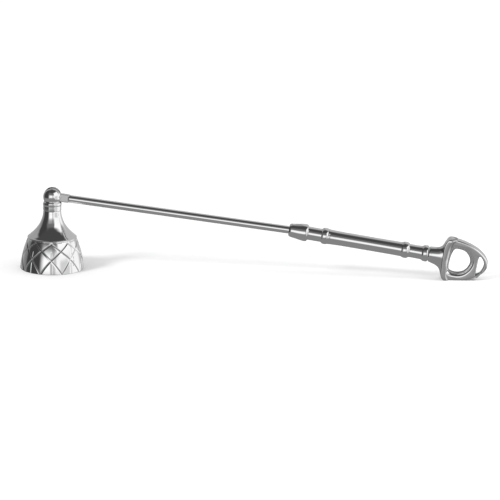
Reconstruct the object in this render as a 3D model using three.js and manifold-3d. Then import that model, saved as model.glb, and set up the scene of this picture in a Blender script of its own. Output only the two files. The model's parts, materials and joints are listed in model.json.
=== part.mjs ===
// Candle snuffer: a bell on a ball knuckle, hinged to a long rod with a bamboo-look grip and a
// stirrup end. Millimetres, +Z up, resting on z = 0; +X runs from the bell to the stirrup and
// the hinge axis is parallel to Y.
import * as THREE from "three";
import { mergeVertices } from "three/addons/utils/BufferGeometryUtils.js";
import Module from "manifold-3d";

const wasm = await Module();
wasm.setup();

// ---- driving dimensions ----
const GAP = 0.3; // clearance between separate pieces
const WALL = 1.2; // bell wall
const BELL_RIM_R = 20.1;
const SHOULDER_R = 15.3; // edge between the engraved skirt and the smooth neck
const SHOULDER_Z = 19.8;
const NECK_R = 5.6;
const NECK_TOP_Z = 37.3;
const NECK_CEILING_Z = 32.8; // underside of the solid neck, inside the bell

const PIVOT_Z = 46.3;
const BALL_R = 5.9;
const CREASE_Z = 43.4; // crease between collar and ball
// (radius, height) of the collar, up to its bead and the crease
const COLLAR = [[5.45, 37.6], [5.68, 38.9], [5.8, 40.3], [5.98, 41.4], [5.8, 42.6], [5.1, 43.35]];
const SLOT_WIDTH = 4.2;
const SLOT_DEPTH = 5.5; // below the pivot
const STUD_R = 1.85;
const STUD_END_Z = 28.0;
const PIN_R = 1.5;
const PIN_CLEARANCE = 0.2; // in the cheeks
const EYE_CLEARANCE = 0.1; // in the tongue
const WASHER_R = 4.4;
const WASHER_THICKNESS = 0.8;
const NUT_CORNER_R = 4.04;
const NUT_HEIGHT = 2.4;

const TONGUE_THICKNESS = SLOT_WIDTH - 2 * GAP;
const TONGUE_HEIGHT = 5.0;
const EYE_R = 3.4;
const ROD_R = 2.4;
const ROD_START = 10.8; // distance from the pivot
const SPIGOT_R = 1.5;
const SPIGOT_LENGTH = 8;
const SPIGOT_ROOT = 2; // inside the tongue
const TONGUE_EDGE = 0.25;
const ROD_TILT = THREE.MathUtils.degToRad(6.63); // rod, below horizontal
const HANDLE_BEND = THREE.MathUtils.degToRad(1.75); // grip, below the rod's line

const HANDLE_START = 150.9; // distance from the pivot
const FERRULE_LENGTH = 12.1;
const ROD_INSERT = 24; // rod length inside ferrule and grip
const ROD_CHAMFER = 0.5;
const GRIP_LENGTH = 89.1; // front of the ferrule to the seam with the stirrup
const NECK_GRIP_R = 4.15; // grip radius between two nodes
const MAIN_GRIP_R = 4.4;
const NODE_R = 5.15;
const FRONT_NODE = 20.5; // start of each node, from the front of the ferrule
const REAR_NODE = 71.9;
const LAST_NODE = 83.0;
const SEAM_R = 4.8;
const JOIN_STUD_R = 2.0;
const JOIN_STUD_REACH = 9; // into each of grip and shank

const ARCH_DEPTH = 6.8; // stirrup arch, along Y
const TREAD_DEPTH = 11.0; // tread bar, along Y
const TREAD_FACE_U = 8.7; // tread's outer face, from the seam
const TREAD_INNER_U = 13.4;
const TREAD_INSET = 0.5; // how far the bar's ends lie inside the outline
const ARCH_CENTRE_V = -0.6; // the stirrup hangs a little below the grip's axis
const ARCH_START_U = 12.9;
const ARCH_TIP_U = 37.7;
const ARCH_UP = 13.3; // outline above and below the centre
const ARCH_DOWN = 13.9;
const ARCH_CORNER = 8.5; // height of the bent corners at the two ends of the tread
const ARCH_SQUARENESS = 1.85; // exponent of the arch's superellipse
const EDGE_ROUND = 1.0; // rounding of the stirrup's edges
const SHANK_LENGTH = 9.4;
// points that the two openings pass, (u, v) from the seam
const OPENING = [[15.1, 5.0], [16.2, 6.1], [18.0, 6.35], [20.2, 6.15], [22.3, 5.6], [24.1, 4.3],
  [25.5, 2.5], [26.3, 0.5], [26.4, -1.2], [25.9, -3.0], [24.9, -4.9], [23.1, -6.8],
  [20.8, -7.9], [18.2, -8.3], [15.8, -8.1], [14.2, -7.3], [13.6, -5.8], [13.6, -3.0],
  [13.9, 0.5], [14.4, 3.0]];
const OPENING_FLARE = 2.4; // how much wider the opening is at the faces than in the middle
const STRAP_SLOT = [[31.5, 3.9], [32.4, 4.4], [33.7, 3.4], [34.9, 1.4], [35.3, -0.8],
  [34.9, -3.4], [34.1, -5.4], [33.0, -7.4], [32.1, -8.6], [31.3, -8.2], [31.1, -6.0],
  [31.2, -1.0], [31.3, 2.4]];

const ROUND = 48; // facets on large turned pieces
const MIDDLE_ROUND = 32;
const SMALL_ROUND = 24;
const BEYOND = 5; // how far a cutting tool reaches past the surface

// ---- solids ----
function toSolid(geometry) {
  const bare = geometry.index ? geometry.toNonIndexed() : geometry.clone();
  bare.deleteAttribute("normal");
  bare.deleteAttribute("uv");
  const merged = mergeVertices(bare, 1e-4);
  const index = merged.index.array;
  const triVerts = [];
  for (let i = 0; i < index.length; i += 3) {
    const [a, b, c] = [index[i], index[i + 1], index[i + 2]];
    if (a !== b && b !== c && c !== a) triVerts.push(a, b, c);
  }
  const vertProperties = new Float32Array(merged.attributes.position.array);
  const mesh = new wasm.Mesh({ numProp: 3, vertProperties, triVerts: new Uint32Array(triVerts) });
  return new wasm.Manifold(mesh);
}

function toGeometry(solid) {
  const mesh = solid.getMesh();
  const geometry = new THREE.BufferGeometry();
  geometry.setAttribute("position", new THREE.BufferAttribute(mesh.vertProperties.slice(), 3));
  geometry.setIndex(new THREE.BufferAttribute(mesh.triVerts.slice(), 1));
  geometry.computeVertexNormals();
  return geometry;
}

function cut(geometry, ...tools) {
  return toGeometry(tools.reduce((solid, tool) => solid.subtract(toSolid(tool)), toSolid(geometry)));
}

function join(...geometries) {
  return toGeometry(geometries.map(toSolid).reduce((whole, piece) => whole.add(piece)));
}

// Profile points are (radius, height). The turned piece stands on +Z.
function turned(points, facets = ROUND) {
  const profile = points.map(([radius, height]) => new THREE.Vector2(radius, height));
  return new THREE.LatheGeometry(profile, facets).rotateX(Math.PI / 2);
}

// The same, lying along +X.
function turnedAlongX(points, facets = SMALL_ROUND) {
  return turned(points, facets).rotateY(Math.PI / 2);
}

function rodAlongX(radius, start, end, facets = SMALL_ROUND) {
  return turnedAlongX([[0, start], [radius, start], [radius, end], [0, end]], facets);
}

function rodAlongY(radius, halfLength, facets = SMALL_ROUND) {
  return new THREE.CylinderGeometry(radius, radius, 2 * halfLength, facets);
}

function rodAlongZ(radius, start, end, facets = SMALL_ROUND) {
  return turned([[0, start], [radius, start], [radius, end], [0, end]], facets);
}

function curvePoints(controls, divisions) {
  const curve = new THREE.SplineCurve(controls.map(([x, y]) => new THREE.Vector2(x, y)));
  return curve.getPoints(divisions).map((point) => [point.x, point.y]);
}

function arcPoints(centre, radius, from, to, divisions) {
  const points = [];
  for (let i = 0; i <= divisions; i += 1) {
    const angle = from + ((to - from) * i) / divisions;
    points.push([centre[0] + radius * Math.cos(angle), centre[1] + radius * Math.sin(angle)]);
  }
  return points;
}

// Extrudes an outline in the (u, v) plane to a plate centred on Y, with rounded edges.
function plate(shape, depth, rounding, curveSegments = 10) {
  const settings = {
    depth: depth - 2 * rounding,
    bevelEnabled: rounding > 0,
    bevelThickness: rounding,
    bevelSize: rounding,
    bevelOffset: -rounding,
    bevelSegments: 3,
    curveSegments,
  };
  const geometry = new THREE.ExtrudeGeometry(shape, settings);
  return geometry.translate(0, 0, -settings.depth / 2).rotateX(Math.PI / 2);
}

// ---- bell body ----
function bellOutline() {
  const skirt = curvePoints(
    [[BELL_RIM_R, 0], [19.42, 5.8], [18.35, 11], [16.8, 16], [SHOULDER_R, SHOULDER_Z]], 8);
  const neck = curvePoints(
    [[SHOULDER_R - 0.3, SHOULDER_Z + 0.8], [12.6, 22.8], [9.9, 25.8], [7.9, 28.6],
      [6.8, 31.3], [5.95, 34], [NECK_R, NECK_TOP_Z]], 12);
  return [...skirt, ...neck];
}

function offsetInwards(points, distance) {
  return points.map(([radius, height], i) => {
    const before = points[Math.max(i - 1, 0)];
    const after = points[Math.min(i + 1, points.length - 1)];
    const along = new THREE.Vector2(after[0] - before[0], after[1] - before[1]).normalize();
    return [radius - along.y * distance, height + along.x * distance];
  });
}

function bellShell() {
  const outer = bellOutline();
  const inner = offsetInwards(outer, WALL).filter(([, height]) => height < NECK_CEILING_Z - 1);
  inner[0] = [BELL_RIM_R - WALL, 0];
  const boreR = STUD_R + GAP;
  const ceiling = [[boreR, NECK_TOP_Z], [boreR, NECK_CEILING_Z], [5.0, NECK_CEILING_Z]];
  return turned([...outer, ...ceiling, ...inner.reverse(), outer[0]]);
}

function forkKnuckle() {
  const creaseAngle = Math.asin((CREASE_Z - PIVOT_Z) / BALL_R);
  const ball = arcPoints([0, PIVOT_Z], BALL_R, creaseAngle, Math.PI / 2, 12);
  ball[ball.length - 1][0] = 0;
  const base = NECK_TOP_Z + GAP;
  const body = turned([
    [0, STUD_END_Z], [STUD_R, STUD_END_Z], [STUD_R, base], [COLLAR[0][0], base],
    ...COLLAR.slice(1), ...ball], MIDDLE_ROUND);
  const slotHeight = SLOT_DEPTH + 2 * BALL_R;
  const slot = new THREE.BoxGeometry(4 * BALL_R, SLOT_WIDTH, slotHeight);
  slot.translate(0, 0, PIVOT_Z - SLOT_DEPTH + slotHeight / 2);
  const bore = rodAlongY(PIN_R + PIN_CLEARANCE, 2 * BALL_R).translate(0, 0, PIVOT_Z);
  return cut(body, slot, bore);
}

// The pin's ends follow the ball.
function pivotPin() {
  const atRadius = (radius) => Math.sqrt(BALL_R ** 2 - radius ** 2);
  const [face, middle] = [atRadius(PIN_R), atRadius(PIN_R / 2)];
  return turned([[0, -BALL_R], [PIN_R / 2, -middle], [PIN_R, -face], [PIN_R, face],
    [PIN_R / 2, middle], [0, BALL_R]], SMALL_ROUND).rotateX(Math.PI / 2);
}

function forkWasher() {
  const top = NECK_CEILING_Z - GAP;
  const bottom = top - WASHER_THICKNESS;
  const bore = STUD_R + GAP;
  return turned([[bore, top], [bore, bottom], [WASHER_R, bottom], [WASHER_R, top], [bore, top]],
    SMALL_ROUND);
}

function forkNut() {
  const top = NECK_CEILING_Z - 2 * GAP - WASHER_THICKNESS;
  const hexagon = new THREE.CylinderGeometry(NUT_CORNER_R, NUT_CORNER_R, NUT_HEIGHT, 6);
  hexagon.rotateX(Math.PI / 2).translate(0, 0, top - NUT_HEIGHT / 2);
  return cut(hexagon, rodAlongZ(STUD_R + GAP, 0, NECK_TOP_Z));
}

// ---- handle body: rod frame, origin at the pivot, +X along the rod ----
function rodEye() {
  const half = TONGUE_HEIGHT / 2;
  const spread = Math.asin(half / EYE_R);
  const shape = new THREE.Shape();
  shape.moveTo(ROD_START - GAP, -half);
  shape.lineTo(ROD_START - GAP, half);
  shape.lineTo(EYE_R * Math.cos(spread), half);
  shape.absarc(0, 0, EYE_R, spread, 2 * Math.PI - spread, false);
  shape.closePath();
  const tongue = plate(shape, TONGUE_THICKNESS, TONGUE_EDGE, 14);
  const spigot = rodAlongX(SPIGOT_R, ROD_START - SPIGOT_ROOT, ROD_START + SPIGOT_LENGTH);
  return cut(join(tongue, spigot), rodAlongY(PIN_R + EYE_CLEARANCE, BALL_R));
}

function rod() {
  const bore = SPIGOT_R + GAP;
  const depth = ROD_START + SPIGOT_LENGTH + GAP;
  const end = HANDLE_START + ROD_INSERT;
  return turnedAlongX([[bore, ROD_START], [ROD_R, ROD_START], [ROD_R, end - ROD_CHAMFER],
    [ROD_R - ROD_CHAMFER, end], [0, end], [0, depth], [bore, depth], [bore, ROD_START]]);
}

// ---- handle frame: origin at the front of the ferrule, +X along the grip ----
function rodHole() {
  return rodAlongX(ROD_R + GAP, -BEYOND, ROD_INSERT + GAP).rotateY(-HANDLE_BEND);
}

function handleFerrule() {
  const flare = curvePoints([[3.7, 0], [4.3, 1.4], [4.75, 5.0], [5.3, 9.0], [5.35, 11.2]], 10);
  const profile = [[0, 0], ...flare, [4.7, FERRULE_LENGTH], [0, FERRULE_LENGTH]];
  return cut(turnedAlongX(profile), rodHole());
}

// A raised node: a small step up, a rounded crown, and a quick fall to the next stretch.
function nodeProfile(start, before, after) {
  return [[before, start], [before + 0.45, start + 0.5], [NODE_R - 0.15, start + 1.6],
    [NODE_R, start + 2.6], [NODE_R - 0.2, start + 3.5], [after, start + 4.6]];
}

function handleGrip() {
  const front = FERRULE_LENGTH + GAP;
  const rear = GRIP_LENGTH - GAP;
  const profile = [
    [0, front], [NECK_GRIP_R + 0.2, front], [NECK_GRIP_R, front + 1.4],
    ...nodeProfile(FRONT_NODE, NECK_GRIP_R, MAIN_GRIP_R + 0.2),
    [MAIN_GRIP_R, FRONT_NODE + 10],
    ...nodeProfile(REAR_NODE, MAIN_GRIP_R, NECK_GRIP_R),
    [NECK_GRIP_R + 0.1, LAST_NODE], [NECK_GRIP_R + 0.5, LAST_NODE + 1.7],
    [NODE_R, LAST_NODE + 3.5], [NODE_R, LAST_NODE + 4.8], [SEAM_R, rear], [0, rear]];
  const studHole = rodAlongX(JOIN_STUD_R + GAP, rear - JOIN_STUD_REACH, rear + BEYOND);
  return cut(turnedAlongX(profile), rodHole(), studHole);
}

function stirrupStud() {
  const reach = JOIN_STUD_REACH - GAP;
  return rodAlongX(JOIN_STUD_R, GRIP_LENGTH - reach, GRIP_LENGTH + reach);
}

// ---- stirrup frame: origin at the seam, u along the grip, v upwards ----
function outline(inset) {
  const [left, middle] = [TREAD_FACE_U, ARCH_START_U];
  const top = ARCH_CENTRE_V + ARCH_UP - inset;
  const bottom = ARCH_CENTRE_V - ARCH_DOWN + inset;
  const shape = new THREE.Shape();
  shape.moveTo(middle, bottom);
  shape.quadraticCurveTo(left, bottom, left, bottom + ARCH_CORNER);
  shape.lineTo(left, top - ARCH_CORNER);
  shape.quadraticCurveTo(left, top, middle, top);
  return shape;
}

// The tread's bent side and, on the right, half a superellipse.
function archPlate() {
  const shape = outline(0);
  const divisions = 22;
  for (let i = 1; i < divisions; i += 1) {
    const angle = Math.PI / 2 - (Math.PI * i) / divisions;
    const u = Math.cos(angle) ** (2 / ARCH_SQUARENESS);
    const v = Math.abs(Math.sin(angle)) ** (2 / ARCH_SQUARENESS);
    shape.lineTo(ARCH_START_U + (ARCH_TIP_U - ARCH_START_U) * u,
      ARCH_CENTRE_V + (angle > 0 ? ARCH_UP * v : -ARCH_DOWN * v));
  }
  return plate(shape, ARCH_DEPTH, EDGE_ROUND, 6);
}

function treadBar() {
  const shape = outline(TREAD_INSET);
  shape.lineTo(TREAD_INNER_U, ARCH_CENTRE_V + ARCH_UP - TREAD_INSET);
  shape.lineTo(TREAD_INNER_U, ARCH_CENTRE_V - ARCH_DOWN + TREAD_INSET);
  return plate(shape, TREAD_DEPTH, 0, 6);
}

function smoothShape(knots, divisions) {
  const points = knots.map(([u, v]) => new THREE.Vector3(u, v, 0));
  const curve = new THREE.CatmullRomCurve3(points, true, "centripetal");
  return new THREE.Shape(curve.getPoints(divisions).slice(1));
}

// A tool that cuts a smooth opening straight through.
function openingTool(knots, divisions) {
  return plate(smoothShape(knots, divisions), 4 * ARCH_DEPTH, 0);
}

// Two tools that flare an opening from the middle plane to the arch's faces.
function flareTools(knots, divisions) {
  const settings = {
    depth: GAP,
    bevelThickness: ARCH_DEPTH / 2,
    bevelSize: OPENING_FLARE,
    bevelSegments: 1,
  };
  return [-ARCH_DEPTH / 2 - GAP, ARCH_DEPTH / 2].map((height) => {
    const tool = new THREE.ExtrudeGeometry(smoothShape(knots, divisions), settings);
    return tool.translate(0, 0, height).rotateX(Math.PI / 2);
  });
}

// A trumpet from the seam's circle, which widens upwards and downwards only.
function shank() {
  const flare = curvePoints([[SEAM_R, 0], [5.1, 2.0], [5.7, 4.6], [6.7, 6.6], [8.6, 8.2]], 10);
  const end = [9.4, SHANK_LENGTH];
  const round = turnedAlongX([[0, 0], ...flare, end, [0, SHANK_LENGTH]], MIDDLE_ROUND);
  const spots = round.attributes.position;
  for (let i = 0; i < spots.count; i += 1) {
    const radius = Math.hypot(spots.getY(i), spots.getZ(i));
    if (radius > SEAM_R) spots.setY(i, (spots.getY(i) * SEAM_R) / radius);
  }
  return round;
}

// Everything below the table's surface, seen from the stirrup frame.
function belowTable() {
  const tilt = ROD_TILT + HANDLE_BEND;
  const seamZ = PIVOT_Z - HANDLE_START * Math.sin(ROD_TILT) - GRIP_LENGTH * Math.sin(tilt);
  const [length, width, height] = [3 * ARCH_TIP_U, 5 * TREAD_DEPTH, ARCH_UP];
  const block = new THREE.BoxGeometry(length, width, height);
  return block.translate(length / 4, 0, -height / 2 - seamZ).rotateY(-tilt);
}

function stirrup() {
  const studHole = rodAlongX(JOIN_STUD_R + GAP, -BEYOND, JOIN_STUD_REACH);
  const whole = join(archPlate(), treadBar(), shank());
  const tools = [openingTool(OPENING, 54), ...flareTools(OPENING, 54),
    openingTool(STRAP_SLOT, 30), belowTable(), studHole];
  return cut(whole, ...tools);
}

// ---- materials ----
const plating = (color, roughness) => new THREE.MeshStandardMaterial({ color, roughness, metalness: 1 });

function piece(name, geometry, material) {
  const mesh = new THREE.Mesh(geometry, material);
  mesh.name = name;
  return mesh;
}

// ---- assembly ----
const snuffer = new THREE.Group();

const bell = new THREE.Group();
bell.add(piece("bell_shell", bellShell(), plating(0xd2d2d4, 0.08)));
bell.add(piece("fork_knuckle", forkKnuckle(), plating(0xcfcfd1, 0.08)));
bell.add(piece("fork_washer", forkWasher(), plating(0xb8b8ba, 0.3)));
bell.add(piece("fork_nut", forkNut(), plating(0xb4b4b8, 0.32)));
const pin = piece("pivot_pin", pivotPin(), plating(0xcbcbce, 0.12));
pin.position.z = PIVOT_Z;
bell.add(pin);

const handleFrame = new THREE.Group();
handleFrame.position.x = HANDLE_START;
handleFrame.rotation.y = HANDLE_BEND;
handleFrame.add(piece("handle_ferrule", handleFerrule(), plating(0xc8c8ca, 0.1)));
handleFrame.add(piece("handle_grip", handleGrip(), plating(0xc8c8ca, 0.1)));
handleFrame.add(piece("stirrup_stud", stirrupStud(), plating(0xb4b4b8, 0.32)));
const stirrupPiece = piece("stirrup", stirrup(), plating(0xc4c4c6, 0.12));
stirrupPiece.position.x = GRIP_LENGTH;
handleFrame.add(stirrupPiece);

const rodFrame = new THREE.Group();
rodFrame.position.z = PIVOT_Z;
rodFrame.rotation.y = ROD_TILT;
rodFrame.add(piece("rod_eye", rodEye(), plating(0xcccccf, 0.14)));
rodFrame.add(piece("rod", rod(), plating(0xcccccf, 0.1)));
rodFrame.add(handleFrame);

snuffer.add(bell, rodFrame);

// The origin is under the middle of the whole length.
snuffer.updateMatrixWorld(true);
const extent = new THREE.Box3().setFromObject(snuffer, true);
snuffer.position.x = -(extent.min.x + extent.max.x) / 2;

export default snuffer;
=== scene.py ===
"""Candle snuffer with an engraved swinging bell, a thin rod, a bamboo-look grip and a stirrup end.

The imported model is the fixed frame. Each sub-assembly below is a class that builds its finished
pieces in that frame, in metres, dresses them and hangs them on the frame's bodies.
"""

import json
import logging
import math
from dataclasses import dataclass
from enum import Enum
from typing import Any, Sequence

import bmesh
import bpy
import numpy as np
from mathutils import Matrix, Vector
from mathutils.geometry import tessellate_polygon


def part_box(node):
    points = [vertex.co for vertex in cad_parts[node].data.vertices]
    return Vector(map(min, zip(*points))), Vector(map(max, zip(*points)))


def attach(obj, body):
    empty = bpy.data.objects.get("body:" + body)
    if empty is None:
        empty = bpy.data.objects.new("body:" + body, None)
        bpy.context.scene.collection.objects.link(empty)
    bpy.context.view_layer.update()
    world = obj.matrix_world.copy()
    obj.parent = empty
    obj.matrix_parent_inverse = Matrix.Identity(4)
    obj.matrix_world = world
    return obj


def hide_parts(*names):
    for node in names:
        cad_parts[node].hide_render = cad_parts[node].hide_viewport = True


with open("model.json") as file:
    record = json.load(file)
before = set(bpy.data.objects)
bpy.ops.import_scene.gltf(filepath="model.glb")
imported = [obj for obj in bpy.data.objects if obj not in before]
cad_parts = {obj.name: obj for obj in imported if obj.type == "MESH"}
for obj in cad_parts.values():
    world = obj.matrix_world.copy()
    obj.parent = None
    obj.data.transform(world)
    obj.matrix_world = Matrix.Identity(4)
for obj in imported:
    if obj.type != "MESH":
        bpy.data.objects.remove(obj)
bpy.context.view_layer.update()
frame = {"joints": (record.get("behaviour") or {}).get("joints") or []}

log = logging.getLogger("snuffer")

MM = 0.001
FULL_TURN = 2.0 * math.pi
ON_AXIS = 1e-6
Point = tuple[float, float]


# ---------------------------------------------------------------- node graphs


class Wire:
    """A node's output that ordinary arithmetic works on, in shader and geometry trees alike."""

    def __init__(self, graph: "Graph", socket: bpy.types.NodeSocket) -> None:
        """Keeps the graph, so that arithmetic can add nodes to it, and the socket."""
        self.graph = graph
        self.socket = socket

    def math(self, operation: str, *others: Any) -> "Wire":
        """Adds a Math node.

        Args:
            operation: the Math node's operation.
            others: its second and third values, numbers or wires.

        Returns:
            The node's result.
        """
        inputs = {i + 1: value for i, value in enumerate(others)}
        return self.graph.node("ShaderNodeMath", {"operation": operation}, {0: self, **inputs})

    def __add__(self, other: Any) -> "Wire":
        """Sum."""
        return self.math("ADD", other)

    __radd__ = __add__

    def __sub__(self, other: Any) -> "Wire":
        """Difference."""
        return self.math("SUBTRACT", other)

    def __rsub__(self, other: float) -> "Wire":
        """Difference from a number."""
        return self._reflected("SUBTRACT", other)

    def __mul__(self, other: Any) -> "Wire":
        """Product."""
        return self.math("MULTIPLY", other)

    __rmul__ = __mul__

    def __truediv__(self, other: Any) -> "Wire":
        """Quotient."""
        return self.math("DIVIDE", other)

    def __rtruediv__(self, other: float) -> "Wire":
        """Quotient of a number."""
        return self._reflected("DIVIDE", other)

    def _reflected(self, operation: str, first: float) -> "Wire":
        """Adds a Math node whose first value is a number and whose second is this wire."""
        return self.graph.node("ShaderNodeMath", {"operation": operation}, {0: first, 1: self})

    def fold(self, period: float) -> "Wire":
        """Distance to the nearest whole multiple of a period."""
        return self.math("PINGPONG", period / 2.0)

    def step(self, low: Any, high: Any) -> "Wire":
        """Smooth step from 0 at low to 1 at high.

        Args:
            low: the value that gives 0.
            high: the value that gives 1; below low, the step runs down.

        Returns:
            The step, from 0 to 1.
        """
        settings = {"interpolation_type": "SMOOTHSTEP"}
        return self.graph.node("ShaderNodeMapRange", settings, {0: self, 1: low, 2: high})

    def between(self, low: float, high: float, soft: float) -> "Wire":
        """1 from low to high, with soft edges of the given width centred on both."""
        rise = self.step(low - soft / 2, low + soft / 2)
        return rise * (1 - self.step(high - soft / 2, high + soft / 2))


class Graph:
    """A node tree with one method that makes any of its nodes."""

    def __init__(self, tree: bpy.types.NodeTree) -> None:
        """Empties the tree and keeps it."""
        tree.nodes.clear()
        self.tree = tree

    def plug(self, socket: bpy.types.NodeSocket, value: Any) -> None:
        """Links a wire to a socket, or sets the socket's value.

        Args:
            socket: the input socket.
            value: a wire, or a value of the socket's kind.
        """
        if isinstance(value, Wire):
            self.tree.links.new(value.socket, socket)
        else:
            socket.default_value = value

    def node(self, kind: str, settings: dict | None = None, inputs: dict | None = None,
             output: Any = 0) -> Wire:
        """Makes a node.

        Args:
            kind: the node's type.
            settings: its properties, set first.
            inputs: socket name or number to a value or a wire.
            output: the name or number of the output that is wanted.

        Returns:
            That output as a wire; its node is wire.socket.node.
        """
        made = self.tree.nodes.new(kind)
        for name, value in (settings or {}).items():
            setattr(made, name, value)
        for name, value in (inputs or {}).items():
            self.plug(made.inputs[name], value)
        return Wire(self, made.outputs[output] if len(made.outputs) else made.inputs[0])


# ---------------------------------------------------------------- finishes


class Marks(Enum):
    """Which way the fine marks of polishing run, as how often they repeat along X, Y and Z."""

    UPRIGHT = (1500.0, 1500.0, 70.0)
    ALONG_X = (40.0, 2200.0, 2200.0)
    CROSSED = (900.0, 900.0, 900.0)


@dataclass(frozen=True)
class Plate:
    """Bright metal: its colour, polish, haze, fine marks, and darkening in a mask: patina in the
    bell's cut lines, painted shade in the handle's seams and openings (metres).
    """

    name: str
    colour: tuple[float, float, float]
    roughness: float
    haze: float
    marks: Marks
    tarnish: float = 0.0
    mark_depth: float = 0.000048
    mark_strength: float = 0.25
    cloud_scale: float = 55.0
    smudge_scale: float = 210.0

    def material(self) -> bpy.types.Material:
        """Builds the node material.

        Returns:
            A metallic material on object coordinates.
        """
        made = bpy.data.materials.new(self.name)
        made.use_nodes = True
        graph = Graph(made.node_tree)
        place = graph.node("ShaderNodeTexCoord", output="Object")
        cloud = self._noise(graph, place, self.cloud_scale, 3.0)
        smudge = self._noise(graph, place, self.smudge_scale, 5.0)
        stretched = graph.node("ShaderNodeMapping", None, {"Vector": place,
                                                           "Scale": self.marks.value})
        lines = self._noise(graph, stretched, 1.0, 4.0)
        film = smudge.step(0.52, 0.78) * cloud.step(0.35, 0.7)
        colour = self._mix(graph, 0.35 * cloud.step(0.3, 0.7), self.colour, self._toned(0.955))
        colour = self._mix(graph, 0.30 * film, colour, self._toned(0.90))
        rough = self.roughness + self.haze * film + 0.4 * self.haze * lines.step(0.45, 0.8)
        # Darkens the colour where the mask is: oxide patina in the bell's cut lines, and painted
        # shade in the seams and openings of the handle's pieces.
        if self.tarnish > 0:
            cut = graph.node("ShaderNodeAttribute", {"attribute_name": "engraving"}, output="Fac")
            colour = self._mix(graph, self.tarnish * cut.step(0.15, 0.9), colour, self._toned(0.42))
            rough = rough + 0.16 * self.tarnish * cut.step(0.1, 0.8)
        bump = graph.node("ShaderNodeBump", None, {
            "Strength": self.mark_strength, "Distance": self.mark_depth,
            "Height": lines * 0.6 + smudge * 0.4}, "Normal")
        shader = graph.node("ShaderNodeBsdfPrincipled", None, {
            "Base Color": colour, "Metallic": 1.0, "Roughness": rough, "Normal": bump}, "BSDF")
        graph.node("ShaderNodeOutputMaterial", None, {"Surface": shader})
        return made

    def _toned(self, share: float) -> tuple[float, float, float, float]:
        """The plate's colour at a share of its brightness."""
        return (*(share * part for part in self.colour), 1.0)

    @staticmethod
    def _noise(graph: Graph, place: Wire, scale: float, detail: float) -> Wire:
        """A noise texture's value."""
        inputs = {"Vector": place, "Scale": scale, "Detail": detail, "Roughness": 0.55}
        return graph.node("ShaderNodeTexNoise", None, inputs, "Fac")

    @staticmethod
    def _mix(graph: Graph, share: Wire, first: Any, second: Any) -> Wire:
        """Mixes two colours.

        Args:
            graph: the material's graph.
            share: how much of the second, from 0 to 1.
            first: a colour or a wire.
            second: a colour or a wire.

        Returns:
            The mixed colour.
        """
        if isinstance(first, tuple) and len(first) == 3:
            first = (*first, 1.0)
        inputs = {0: share, 6: first, 7: second}
        return graph.node("ShaderNodeMix", {"data_type": "RGBA"}, inputs, 2)


NICKEL = (0.83, 0.83, 0.835)
FINISHES = {
    "bell": Plate("bell_bright_plate", NICKEL, 0.035, 0.10, Marks.UPRIGHT, tarnish=0.2),
    "knuckle": Plate("knuckle_bright_plate", NICKEL, 0.04, 0.10, Marks.UPRIGHT),
    "rod": Plate("rod_drawn_plate", NICKEL, 0.05, 0.12, Marks.ALONG_X),
    "tongue": Plate("tongue_satin_plate", (0.88, 0.88, 0.885), 0.46, 0.10, Marks.ALONG_X),
    # On the handle's pieces this darkening is painted shade in seams and openings.
    "handle": Plate("handle_bright_plate", (0.81, 0.81, 0.815), 0.045, 0.12, Marks.CROSSED,
                    tarnish=1.0),
    "fastener": Plate("fastener_zinc_plate", (0.62, 0.62, 0.64), 0.28, 0.18, Marks.CROSSED),
}


# ---------------------------------------------------------------- shapes


def rounded(corners: Sequence[tuple[float, float, float]], steps: int = 5) -> list[Point]:
    """Rounds the corners of an open outline.

    Args:
        corners: (x, y, radius) for each corner; the ends aren't rounded.
        steps: segments in each round.

    Returns:
        The outline's points.
    """
    points: list[Point] = [corners[0][:2]]
    for before, corner, after in zip(corners, corners[1:], corners[2:]):
        here = np.array(corner[:2])
        if corner[2] <= 0:
            points.append(tuple(here))
            continue
        back = np.array(before[:2]) - here
        ahead = np.array(after[:2]) - here
        reach = min(corner[2], 0.45 * np.linalg.norm(back), 0.45 * np.linalg.norm(ahead))
        start = here + back / np.linalg.norm(back) * reach
        end = here + ahead / np.linalg.norm(ahead) * reach
        for share in np.linspace(0.0, 1.0, steps + 1):
            bend = (1 - share) ** 2 * start + 2 * share * (1 - share) * here + share ** 2 * end
            points.append(tuple(bend))
    points.append(corners[-1][:2])
    return points


def flowing(knots: Sequence[Point], steps: int = 6) -> list[Point]:
    """A smooth curve through knots, as a Catmull-Rom spline.

    Args:
        knots: the points that it passes.
        steps: segments from one knot to the next.

    Returns:
        The curve's points, both ends included.
    """
    known = np.array([2 * np.array(knots[0]) - np.array(knots[1]), *map(np.array, knots),
                      2 * np.array(knots[-1]) - np.array(knots[-2])])
    points = []
    for p0, p1, p2, p3 in zip(known, known[1:], known[2:], known[3:]):
        for t in np.arange(steps) / steps:
            curve = (2 * p1 + (p2 - p0) * t + (2 * p0 - 5 * p1 + 4 * p2 - p3) * t ** 2
                     + (3 * p1 - p0 - 3 * p2 + p3) * t ** 3) / 2
            points.append(tuple(curve))
    points.append(tuple(known[-2]))
    return points


def arc(centre: Point, radius: float, start: float, end: float, steps: int) -> list[Point]:
    """Points on an arc of a circle, angles in radians."""
    angles = np.linspace(start, end, steps + 1)
    return [(centre[0] + radius * math.cos(a), centre[1] + radius * math.sin(a)) for a in angles]


def spokes(count: int) -> np.ndarray:
    """Equal angles round a full turn, from 0."""
    return np.arange(count) * FULL_TURN / count


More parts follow.
